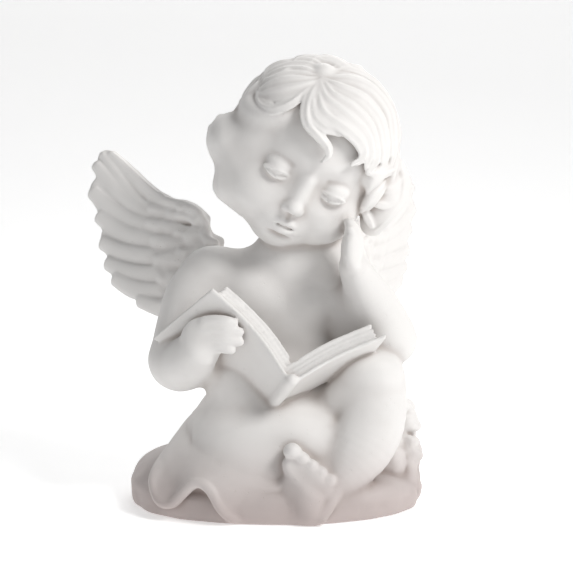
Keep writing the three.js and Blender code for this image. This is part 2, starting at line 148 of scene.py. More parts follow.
def limb(field, stations, width=1, steps=24, away=False):
    # a round limb: the least distance to a chain of cones between stations x, y, z, radius
    path = smoothPath(stations, steps)
    reach = path[:, 3].max() + block["reach"]
    lowest, highest = (path[:, :3] - path[:, 3:]).min(0), (path[:, :3] + path[:, 3:]).max(0)
    whole = window(lowest, highest, block["reach"])
    distance = emptyBlock(whole)
    for a, b in zip(path[:-1], path[1:]):
        part = window(np.minimum(a, b)[:3], np.maximum(a, b)[:3], reach)
        part = tuple(slice(max(p.start, w.start), min(p.stop, w.stop)) for p, w in zip(part, whole))
        x, y, z = (line - start for line, start in zip(cellsIn(part), a))
        along = b[:3] - a[:3]
        t = (x * along[0] + y * along[1] + z * along[2]) / max(along @ along, 1e-9)
        t = np.clip(t, 0, 1)
        far = np.sqrt((x - t * along[0]) ** 2 + (y - t * along[1]) ** 2 + (z - t * along[2]) ** 2)
        inner = tuple(slice(p.start - w.start, p.stop - w.start) for p, w in zip(part, whole))
        distance[inner] = np.minimum(distance[inner], far - (a[3] + t * (b[3] - a[3])))
    (carve if away else join)(field, whole, distance, width)


def addForms(field, forms):
    # joins forms in turn: a list of stations, then width and steps, is a limb, and a place, then
    # radii and width, is an egg
    for first, *rest in forms:
        (limb if isinstance(first, list) else egg)(field, first, *rest)


def ribbon(field, stations, front, width=0.5, steps=20, grooves=0, depth=0, lean=0):
    # a lock, feather or fold: an oval of half width and half height given at each station
    # x, y, z, halfWidth, halfHeight, carried along a path with its height along front.
    # In the oval's own axes, across u and up v, the distance is as for an ellipsoid, with v measured
    # from a crest line with grooves: depth (1 - cos(pi grooves (u / halfWidth + 1))) / 2.
    path = smoothPath(stations, steps)
    centre, halfWide, halfHigh = path[:, :3], np.maximum(path[:, 3], 0.15), np.maximum(path[:, 4], 0.15)
    along = np.gradient(centre, axis=0)
    along /= np.linalg.norm(along, axis=1, keepdims=True)
    up = front(centre) if callable(front) else np.tile(front, (len(centre), 1)).astype(float)
    up = up - (up * along).sum(1, keepdims=True) * along
    up /= np.linalg.norm(up, axis=1, keepdims=True)
    size = np.maximum(halfWide, halfHigh)[:, None]
    part = window((centre - size).min(0), (centre + size).max(0), 1.2)
    points = np.stack([a.ravel() for a in np.broadcast_arrays(*cellsIn(part))], 1)
    # only the cells near the path are worked out
    nearest = np.full(len(points), 1e9, np.float32)
    which = np.zeros(len(points), np.int32)
    for i, c in enumerate(centre.astype(np.float32)):
        far = ((points - c) ** 2).sum(1)
        closer = far < nearest
        nearest[closer] = far[closer]
        which[closer] = i
    close = np.nonzero(nearest < (size.max() + 1.5) ** 2)[0]
    points, i = points[close].astype(np.float64), which[close]
    # between the stations: slide along the tangent, and blend to the next or last one
    run = ((points - centre[i]) * along[i]).sum(1)
    gap = np.linalg.norm(np.diff(centre, axis=0), axis=1)
    toNext, fromLast = np.append(gap, 1e9)[i], np.insert(gap, 0, 1e9)[i]
    f = np.clip(np.where(run > 0, run / toNext, run / fromLast), -0.5, 0.5)
    j = np.clip(i + np.sign(f).astype(int), 0, len(centre) - 1)
    f = np.abs(f)[:, None]
    table = np.hstack([centre, np.cross(along, up), up, halfWide[:, None], halfHigh[:, None]])
    at, side, up, w, h = np.split(table[i] * (1 - f) + table[j] * f, (3, 6, 9, 10), axis=1)
    w, h = w[:, 0], h[:, 0]
    u, v = ((points - at) * side).sum(1), ((points - at) * up).sum(1)
    t = np.where((i == 0) | (i == len(centre) - 1), ((points - at) * along[i]).sum(1), 0)
    share = np.clip(u / w, -1, 1)
    v = v - lean * share * h
    if grooves:
        v = v + depth * (0.5 - 0.5 * np.cos(np.pi * grooves * (share + 1))) * (v > 0)
    distance = emptyBlock(part)
    distance.flat[close] = eggDistance(u, v, t, (w, h, np.minimum(w, h * 1.5)))
    join(field, part, distance, width)


def crease(field, points, radius, width, sink, way=1):
    # a soft furrow where lines along Y through the points x, z meet the skin, from in front (1) or
    # from behind (-1): a limb taken away, sunk by a given depth, with thin ends
    stations = []
    line = axes[1][::way]
    for x, z in points:
        column = field[int(round((x - low[0]) / cell)), ::way, int(round((z - low[2]) / cell))]
        inside = np.nonzero(column < 0)[0]
        n = inside[0] if len(inside) else len(line) // 2
        f = column[n - 1] / max(column[n - 1] - column[n], 1e-6) if n else 0
        y = float(line[n - 1] + f * (line[n] - line[n - 1]))
        end = (x, z) in (points[0], points[-1])
        stations.append((x, y + way * sink, z, radius * (0.35 if end else 1)))
    limb(field, stations, width, 6 * len(points), away=True)


def noiseBlock(size, seed):
    # smooth noise: random numbers on a coarse grid of that size, drawn out to the block along
    # each axis in turn with the weights 3 t^2 - 2 t^3
    coarse = np.random.default_rng(seed).uniform(-1, 1, [int(n * cell / size) + 3 for n in count])
    for axis in range(3):
        at = np.arange(count[axis]) * cell / size
        i = at.astype(int)
        t = at - i
        t = (3 * t * t - 2 * t**3).reshape([-1 if a == axis else 1 for a in range(3)])
        coarse = np.take(coarse, i, axis) * (1 - t) + np.take(coarse, i + 1, axis) * t
    return coarse.astype(np.float32)


def boxBlur(values, cells):
    # the mean over a cube of cells, one axis at a time, from running sums
    for axis in range(3):
        pad = [(0, 0)] * 3
        pad[axis] = (cells + 1, cells)
        running = np.cumsum(np.pad(values, pad, mode="edge"), axis=axis, dtype=np.float32)
        wide = 2 * cells + 1
        values = (np.take(running, np.arange(wide, running.shape[axis]), axis)
                  - np.take(running, np.arange(0, running.shape[axis] - wide), axis)) / wide
    return values


def soften(field, boxLow, boxHigh, cells, edge):
    # melts the creases inside a box: the field goes over to its own mean over a cube of cells,
    # fully where the box's sides are further off than edge, and not at all at the sides
    part = window(boxLow, boxHigh, 3)
    deep = block["reach"] * 2
    for start, end, line in zip(boxLow, boxHigh, cellsIn(part)):
        deep = np.minimum(deep, np.clip(np.minimum(line - start, end - line) / edge, 0, 1))
    field[part] += deep * (boxBlur(boxBlur(field[part], cells), cells) - field[part])


plinth = {
    "halfWidth": 42, "halfDepth": 30, "middle": (0, 1, 3.6), "halfHeight": 7.4,
    "planPower": 5, "sidePower": 3.2, "fuller": 0.05, "planRadius": 34,
    "mound": ((-27, 5, 5.5), (13.2, 15, 9), 5),
    "roughness": 0.35,
}
rock = {
    "seat": [
        ((26, 8, 8), (13.5, 16, 19), 4), ((32, 0, 8), (8.6, 11, 15), 4),
        ((-8, 20, 6), (22, 9, 11), 4),
    ],
    "knobLevels": (4, 7.4, 10.8, 14, 17.2, 20.4, 23.6, 26.6, 29),
    "knobColumns": [(-5, 0.2), (1, 0), (7.4, 0.7), (13.4, 2.4), (19, 5.2)],  # place in Y, set back
    "knobSize": (3.1, 4.2, 2), "jog": (1.1, 1.6, 0.9), "tilt": 25, "face": 38.4,
    "roughness": 0.65,
}


def makePlinth(field, rough):
    # a drum of oval plan and swollen side: rho^5 + |up|^3.2 = 1, with rho the oval radius, a little
    # fuller towards the corners, and up the part of the half height; the value over its gradient
    # is the distance
    w, d, h = plinth["halfWidth"], plinth["halfDepth"], plinth["halfHeight"]
    flat, steep = plinth["planPower"], plinth["sidePower"]
    part = window((-w - 3, -d - 3, -3), (w + 3, d + 5, 13), 1)
    x, y, z = (line - middle for line, middle in zip(cellsIn(part), plinth["middle"]))
    rho = np.sqrt((x / w) ** 2 + (y / d) ** 2)
    rho = rho / (1 + plinth["fuller"] * rho * np.sin(2 * np.arctan2(y / d, x / w)) ** 2)
    up = np.abs(z) / h
    alongPlan = flat * rho ** (flat - 1) / plinth["planRadius"]
    alongSide = steep * up ** (steep - 1) / h
    slope = np.sqrt(alongPlan**2 + alongSide**2)
    distance = np.clip((rho**flat + up**steep - 1) / np.maximum(slope, 0.06), -6, 6)
    join(field, part, distance - plinth["roughness"] * rough[part], 0.1)
    addForms(field, [plinth["mound"]])


def makeRock(field, rough, fine):
    # low ledges, each a flattened knob with its middle jogged about, then broken up by noise
    own = emptyBlock()
    addForms(own, rock["seat"])
    rng = np.random.default_rng(4)
    for z in rock["knobLevels"]:
        for column, (y, back) in enumerate(rock["knobColumns"]):
            jog = rng.uniform(-1, 1, 3) * rock["jog"]
            middle = np.array((rock["face"] - back - 0.012 * (z - 13) ** 2, y + 0.22 * z, z))
            spin = turn(*rng.uniform(-rock["tilt"], rock["tilt"], 3))
            size = np.array(rock["knobSize"]) * rng.uniform(0.75, 1.3, 3)
            if z < 30 - 3 * column:
                egg(own, middle + jog, size, 1.6, spin)
    part = window((6, -20, -3), (46, 34, 34), 0)
    own[part] -= rock["roughness"] * (np.abs(rough[part]) * 1.3 - 0.4 + 0.6 * fine[part])
    whole = window((-34, -22, -3), (47, 36, 34), 0)
    field[whole] = softLeast(field[whole], own[whole], 1.2)


cloth = {
    "forms": [
        ((-7, -4, 15.5), (20.6, 19, 17)),  # thigh
        ((-7, -13.5, 16.5), (13.4, 11.5, 10.5)),  # knee
        ((-4.5, -9.5, 18.5), (17.5, 13.5, 13)),  # top of the knee
        ((5, -10, 19), (17, 13, 12.5)),  # lap
        ((9, -12, 14), (15, 12.6, 13)),
        ((-3.6, -5.6, 31), (12, 10.4, 13)),  # cloth over the belly, where the book rests
        ((-10, -8.6, 36), (8.6, 6.6, 10)),
        ((-1, 5, 24), (20, 16, 14)),  # hips
        ((2, 10, 8), (28, 19, 14)),  # seat
        ((-3, -15.5, 4.5), (23, 14.4, 8.6)),  # where the cloth runs out over the plinth
        ((9, -15.5, 3), (22, 12, 7)),
    ],
    "waist": [
        (-18.6, 2, 24), (-18.4, -6, 24), (-16, -13, 22.6), (-11.4, -19, 20), (-5.4, -22.2, 15.4),
        (1, -23, 8),
    ],
    "hem": [
        (-27, -4, 17.2), (-31.4, -11, 15.4), (-34.6, -17.5, 10.8), (-33, -22.2, 5.6), (-29, -24.8, 5.2),
        (-25.4, -26.8, 9), (-21.8, -28, 12), (-18.4, -29, 10.4), (-15.6, -29.6, 5.6),
        (-12.6, -28.6, 2.2), (-8, -26, 1),
    ],
    "calmHem": [
        (-27, -5, 17), (-31.2, -14, 12), (-28.8, -21.5, 8), (-23, -25.4, 7.4), (-15, -27.6, 5),
        (-8, -26, 1),
    ],
    "sag": (-0.6, -1, 2), "thickness": 1.2, "lip": 1.3,
    "under": ((1, 5), (3, 5.4), (5, 5.2), (7, 4.2), (9, 3), (10, 2.2)),  # row of the sheet, radius
    "foldsBehind": (-22, -14, -6, 3, 12, 20),
    "softBox": ((-25, -34, 10), (19, 4, 44)), "softReach": 1.6, "softEdge": 6,
}


def clothSheet():
    # a ruled sheet between the waist line and the hem: (1 - v) waist(u) + v edge(u), where edge
    # goes over from a calm line to the waved hem as v^3, pushed out by sag sin(pi v) as cloth that
    # falls over a knee is
    v = np.linspace(0, 1, 14)[None, :, None]
    waist, calm, hem = (smoothPath(cloth[name], 60)[:, None, :] for name in ("waist", "calmHem", "hem"))
    edge = calm * (1 - v**3) + hem * v**3
    return waist * (1 - v) + edge * v + np.sin(np.pi * v) * np.array(cloth["sag"])


def makeCloth(own):
    for centre, radii in cloth["forms"]:
        egg(own, centre, radii, 7)
    sheet = clothSheet()
    for line in sheet:
        limb(own, [[*p, cloth["thickness"]] for p in line], 0.9, 14)
    # the room under the sheet is stone down to where the hem lifts off
    for row, radius in cloth["under"]:
        inner = smoothPath(sheet[::6, row], 60) + np.array((0.3, 0.62, -0.62)) * radius
        limb(own, [[*p, radius] for p in inner], 2.5, 60)
    limb(own, [[*p, cloth["lip"]] for p in cloth["hem"]], 0.6, 60)
    # folds behind, that fan out from the small of the back
    for x in cloth["foldsBehind"]:
        fold = [(0.5 * x, 34), (0.72 * x + 1, 25), (x + 1.5, 15), (1.15 * x, 6)]
        crease(own, fold, 1.6, 2.6, 0.2, -1)


body = {
    "forms": [
        ((2, 3.5, 35), (18.5, 15, 17), 5),  # belly
        ((2, 3, 53), (20, 13.5, 15), 5),  # chest
        ((-2.5, 2, 63), (21, 10.5, 11), 5),  # shoulders
        ((9.5, 4, 62), (20, 9.5, 11), 5),
        ((5, 0, 72), (10.5, 9, 11), 5),  # neck
        ((12.5, 3, 71), (13, 8.5, 11), 5),
        ((-7, -4.5, 60), (9, 5.5, 7), 4),  # breast
        ((12, -4, 59), (8.5, 5.5, 7), 4),
        # upper arms, right and left
        ([(-18, 2, 64, 10), (-22.5, -0.5, 58.5, 9.6), (-25.6, -3, 51, 8.7), (-28, -6, 42.5, 8.2)], 3),
        ([(16, 4, 62.5, 11), (21, 2, 58, 10.4), (26, -2, 53, 9.2), (32, -6, 48.4, 7.4)], 3),
        # right forearm and the flesh under it, left forearm
        ([(-27.8, -7, 42, 8), (-26.6, -10, 42, 7.7), (-24.6, -14, 43.6, 7.2),
          (-21.5, -18, 47.5, 6)], 2),
        ([(-27, -8, 42, 7.3), (-21.5, -7.6, 42.2, 6.8)], 2.5, 8),
        ([(33, -7.5, 48.4, 6.8), (31.2, -9, 52, 7.3), (27.6, -11, 59, 6.7), (23.8, -13.2, 66, 5.2),
          (21.8, -14.4, 70, 4.2)], 2.2),
        ((23.6, -5.6, 56.5), (8.6, 7.2, 10.5), 4),  # upper arm, where the forearm presses on it
        # thigh
        ([(16, 3, 20, 12), (19, -4, 25, 10.6), (22.4, -9.5, 31, 9.6), (26.4, -12, 36.8, 9.4)], 3),
        ([(27.2, -12, 36.6, 9.6), (27.6, -14, 31.5, 9.4), (26.6, -16, 25.5, 9.5),
          (23.8, -18.5, 19.6, 9), (19.6, -21, 14.4, 7), (16.2, -22.6, 11, 5.4),
          (14.6, -23.5, 9, 4.8)], 1.6),  # shin
        ((27.6, -15.6, 41.2), (7.4, 6.6, 5.6), 3),  # bent knee
    ],
    "rightPalm": [((-19.4, -18.8, 51.6), (6.8, 4, 5.4), 2.4),
                  ((-16.8, -20.8, 52.4), (5.2, 2.6, 5.2), 1.8)],
    # right fingers: z, where the tip is in x, radius; left fingers: y, where the tip is in z, radius
    "rightFingers": [(56.4, -11.6, 1.5), (53.7, -10, 1.6), (51, -10, 1.6), (48.6, -12.2, 1.4)],
    "leftPalm": [((21.2, -15.5, 74.5), (3.1, 5.2, 6.4), 2),
                 ((21.4, -16.6, 77.4), (2.5, 4.8, 5.8), 1.6)],
    "leftFingers": [(-19.8, 81.4, 1.5), (-17.3, 82.8, 1.7), (-14.8, 82.8, 1.7), (-12.3, 81, 1.5)],
    "leftThumb": [(21.4, -19, 71.4, 1.9), (20.4, -20.6, 74.6, 1.6), (20.4, -21, 78.4, 1.3)],
}
foot = {
    "centre": (9.4, -25.8, 12.6), "turn": 37,
    # in the foot's own axes: ball, arch, heel, instep
    "forms": [((0, 0, 0), (8.6, 4.8, 4.6)), ((0.6, 0.2, -4.6), (7, 4.6, 5.6)),
              ((4.4, 0.4, -8.6), (6, 5, 5.8)), ((4, 2.6, 3), (6.4, 4, 4.6))],
    "sole": [
        # the pads under the toes, the heel, and the outer edge down to it
        ([(4.4, -27.4, 17, 2.4), (8.6, -27.9, 13.8, 2.8), (13.4, -26.9, 10.4, 2.5)], 1.8, 12),
        ([(9.6, -25.6, 11, 5.4), (9.4, -27.2, 7, 4.9), (9.8, -28.2, 4, 3.9),
          (10.2, -28.4, 2.2, 2.8)], 2, 12),
        ([(17, -25, 10.4, 1.9), (15.4, -28, 6.6, 1.7), (12.8, -30.2, 2.2, 1.4)], 1.4, 12),
    ],
    "bigToe": (5, -26.8, 20.2), "toLittleToe": (10.6, 0, -8.2), "toeRadii": (2.45, 1.65),
    "furrow": [(3.4, 17.8), (6.6, 15.8), (9.8, 13.2), (13.6, 10.2)],
}


def makeHands(own):
    addForms(own, body["rightPalm"])
    for z, tip, r in body["rightFingers"]:
        stations = [(-19.6, -20.9, z - 0.5, r), (-16.4, -22.2, z + 0.1, r), (-13.6, -22.8, z, r),
                    (tip, -22.6, z - 0.4, r * 0.85)]
        limb(own, stations, 1.1, 14)
    addForms(own, body["leftPalm"])
    for y, top, r in body["leftFingers"]:
        limb(own, [(22.2, y + 0.6, 75, r), (21.9, y, 78.6, r), (20.6, y - 0.2, top, r * 0.85)], 1.2, 12)
    limb(own, body["leftThumb"], 1.6, 12)


def makeFoot(own):
    spin = turn(y=foot["turn"])
    for middle, radii in foot["forms"]:
        egg(own, np.array(foot["centre"]) + spin @ np.array(middle, float), radii, 2.4, spin)
    addForms(own, foot["sole"])
    biggest, least = foot["toeRadii"]
    for across in (0, 0.25, 0.5, 0.75, 1):
        r = biggest - (biggest - least) * math.sqrt(across)
        root = np.array(foot["bigToe"]) + across * np.array(foot["toLittleToe"])
        toe = [(*(root + (0.8, 2, -1.2)), r * 0.9), (*root, r * 0.95), (*(root + (-0.5, -1.5, 0.7)), r)]
        limb(own, toe, 0.9, 8)
    crease(own, foot["furrow"], 1.6, 2.4, -0.8)


book = {
    "spineEnd": (4.3, -27, 40.8), "toTail": (-7, 14, -12), "spineRadius": 1.75,
    "halves": [
        {"corner": (-16.7, -20.5, 65), "foreTail": (-17, 10.6, -15.6), "bulge": 2.2},
        {"corner": (29.5, -23, 52.8), "foreTail": (-6, 13, -11), "bulge": 1},
    ],
    "cover": ((-0.03, 1.02), (-0.02, 1), (-1.5, -0.4)),  # from and to: across, to the tail, through
    "pages": ((-0.04, 0.965), (0.0245, 0.965), (-0.6, 4.2)),
    "round": 0.35, "leafLines": (0.25, 1.55, 2.85), "lineWidth": 0.36, "lineDepth": 0.5,
}


def bookHalf(half):
    # own coordinates of a bent board: a from the spine to the fore-edge, b from head to tail, c
    # through the thickness, from p = spineEnd + a across + b toTail + a b (foreTail - toTail)
    # + (c + bulge sin(pi a)) normal, solved by putting the last terms back four times
    start, tail = np.array(book["spineEnd"], float), np.array(book["toTail"], float)
    across = np.array(half["corner"], float) - start
    twist = np.array(half["foreTail"], float) - tail
    normal = np.cross(across, tail)
    normal *= np.sign(normal[2]) / np.linalg.norm(normal)
    corners = np.array([start, start + across, start + tail, start + across + tail + twist])
    part = window(corners.min(0) - 3, corners.max(0) + 3, 1.5)
    points = (np.stack(np.broadcast_arrays(*cellsIn(part)), -1) - start).astype(np.float32)
    back = np.linalg.inv(np.stack([across, tail, normal], 1)).astype(np.float32)
    abc = points @ back.T
    for _ in range(4):
        a, b = np.clip(abc[..., 0], 0, 1), np.clip(abc[..., 1], 0, 1)
        moved = points - (a * b)[..., None] * twist.astype(np.float32)
        abc = moved @ back.T
        abc[..., 2] -= half["bulge"] * np.sin(np.pi * a)
    return part, np.moveaxis(abc, -1, 0), (np.linalg.norm(across), np.linalg.norm(tail), 1)


def slab(at, size, ends):
    # a rounded box: the length of the part outside plus the greatest part inside
    u, v, w = (np.abs(a - (start + end) / 2) * s - ((end - start) / 2 * s - book["round"])
               for a, s, (start, end) in zip(at, size, ends))
    outside = np.sqrt(np.maximum(u, 0) ** 2 + np.maximum(v, 0) ** 2 + np.maximum(w, 0) ** 2)
    return outside + np.minimum(np.maximum(np.maximum(u, v), w), 0) - book["round"]


def makeBook(own):
    for half in book["halves"]:
        part, at, size = bookHalf(half)
        join(own, part, slab(at, size, book["cover"]), 0.15)
        # the edges of the leaves: shallow lines run round the block of pages
        lines = sum(np.exp(-(((at[2] - c) / book["lineWidth"]) ** 2)) for c in book["leafLines"])
        join(own, part, slab(at, size, book["pages"]) + book["lineDepth"] * lines, 0.2)
    start, tail = np.array(book["spineEnd"]), np.array(book["toTail"])
    spine = [[*(start + t * tail + (0, -0.2, -0.3)), book["spineRadius"]] for t in (-0.02, 1)]
    limb(own, spine, 0.8, 6)
    # gutter between the two blocks of pages
    limb(own, [[*(start + t * tail + (0.6, 4.2, 4.9)), 0.7] for t in (-0.16, 0.95)], 1.2, 6, away=True)


head = {
    "centre": (11, -2, 104.4), "roll": 26, "turn": 7, "nod": 13,
    "forms": [
        ((0, -1, 1), (21.2, 21.4, 21)),  # skull
        ((0, 4, -12), (20, 15.4, 15)),  # cheekbones and jaw
        ((0, 9, -22.6), (8.6, 8.6, 7.2)),  # chin
    ],
    "eyes": (8.4, -6.4), "eyeSize": 4.5, "nose": -14.2, "mouth": -19.9,
    "lidFold": [(-2.8, 18.9, 3.2, 0.2), (0, 19.3, 4, 0.25), (2.8, 18.9, 3.2, 0.2)],
}
headCentre = np.array(head["centre"], float)
headSpin = turn(x=head["nod"], y=head["roll"], z=head["turn"])


def onHead(left, out, up):
    # a point of the head, from mm towards the left ear, out of the face and up to the crown
    return headCentre + headSpin @ np.array((left, -out, up), float)


def headEgg(field, at, radii, width=1, away=False):
    egg(field, onHead(*at), radii, width, headSpin, away)


def headLimb(field, stations, width=1, steps=16, away=False):
    limb(field, [[*onHead(*s[:3]), s[3]] for s in stations], width, steps, away)


def mirrored(stations, middle):
    # a path over the middle of the face from the stations of its left half
    return [(-left, *rest) for left, *rest in stations] + [middle] + stations[::-1]


def makeFace(own):
    for at, radii in head["forms"]:
        headEgg(own, at, radii, 5)
    eyeLeft, eyeUp = head["eyes"]
    nose, mouth, size = head["nose"], head["mouth"], head["eyeSize"]
    for side in (-1, 1):
        headEgg(own, (side * 9.8, 10.4, -16), (7.8, 8, 7.2), 5)  # cheek
        headEgg(own, (side * eyeLeft, 22, eyeUp + 0.4), (5.6, 3.2, 4.2), 4, away=True)  # socket
    # nose: bridge, tip and wings
    headLimb(own, [(0, 19.4, eyeUp + 1, 0.9), (0, 19.4, eyeUp - 2.5, 1.1), (0, 20, nose + 1.6, 1.5)], 3)
    headEgg(own, (0, 20.7, nose + 0.4), (2.1, 1.9, 1.7), 1.5)
    for side in (-1, 1):
        headEgg(own, (side * 1.9, 19.3, nose - 0.2), (1.2, 1.6, 1.1), 0.8)
        headEgg(own, (side * 1, 20.8, nose - 1.6), (0.5, 0.8, 0.4), 0.5, away=True)
    # mouth: the swell under the nose, upper lip with its bow, lower lip, and the line between
    headEgg(own, (0, 15.8, mouth + 0.2), (6, 3.7, 4.4), 3.5)
    for side in (-1, 1):
        upper = [(0, 19.4, mouth + 0.8, 0.9), (side * 1.2, 19.5, mouth + 1.15, 1),
                 (side * 2.6, 18.9, mouth + 0.7, 0.8), (side * 3.8, 17.9, mouth + 0.3, 0.4)]
        headLimb(own, upper, 1)
    lower = [(3, 18.2, mouth - 0.7, 0.5), (1.5, 18.8, mouth - 1.4, 1.1)]
    headLimb(own, mirrored(lower, (0, 19, mouth - 1.5, 1.2)), 1.1)
    line = [(4, 18.2, mouth + 0.5, 0.25), (2, 19.5, mouth - 0.1, 0.3)]
    headLimb(own, mirrored(line, (0, 20, mouth, 0.3)), 0.8, 24, away=True)
    headEgg(own, (0, 18.2, mouth - 3.9), (3.4, 1.4, 0.9), 1.8, away=True)
    headEgg(own, (0, 20.8, mouth + 2.8), (0.6, 1.1, 1.4), 1, away=True)
    for side in (-1, 1):
        # eyeball, a broad upper lid that comes down over it, a thin lower lid, and the iris ring
        x, deep = side * eyeLeft, 14.6
        headEgg(own, (x, deep, eyeUp), (size, size, size * 0.9), 0.7)
        headEgg(own, (x, deep - 0.1, eyeUp + 1.5), (size + 0.1, size + 0.35, size * 0.72), 0.5)
        t = np.linspace(-1, 1, 7)
        for rise, corner, thick in ((0.35, 0.3, 0.42), (-1.9, 0.5, 0.4)):
            across, up = 4 * t, rise * (1 - t * t) - corner * t * t
            out = np.sqrt(np.maximum((size + 0.2) ** 2 - 0.84 * across**2 - up**2, 1.2))
            lid = np.stack([x + across, deep + out, eyeUp + up, thick * (1 - 0.3 * abs(t))], 1)
            headLimb(own, lid, 0.5, 20)
        fold = [(x + across, out, eyeUp + up, r) for across, out, up, r in head["lidFold"]]
        headLimb(own, fold, 1.2, 16, away=True)
        angle = np.pi * np.linspace(1.06, 1.94, 9)
        across, up = 1.55 * np.cos(angle), 1.5 * np.sin(angle)
        out = np.sqrt(size**2 - across**2 - up**2) + 0.1
        ring = np.stack([x + across, deep + out, eyeUp + up, 0.24 + 0 * up], 1)
        headLimb(own, ring, 0.4, 24, away=True)
        # ear
        headEgg(own, (side * 20.4, -2, -9), (2.4, 3.6, 5), 1.2)
        headEgg(own, (side * 22.6, -1.2, -8.6), (1.2, 1.9, 2.9), 0.8, away=True)


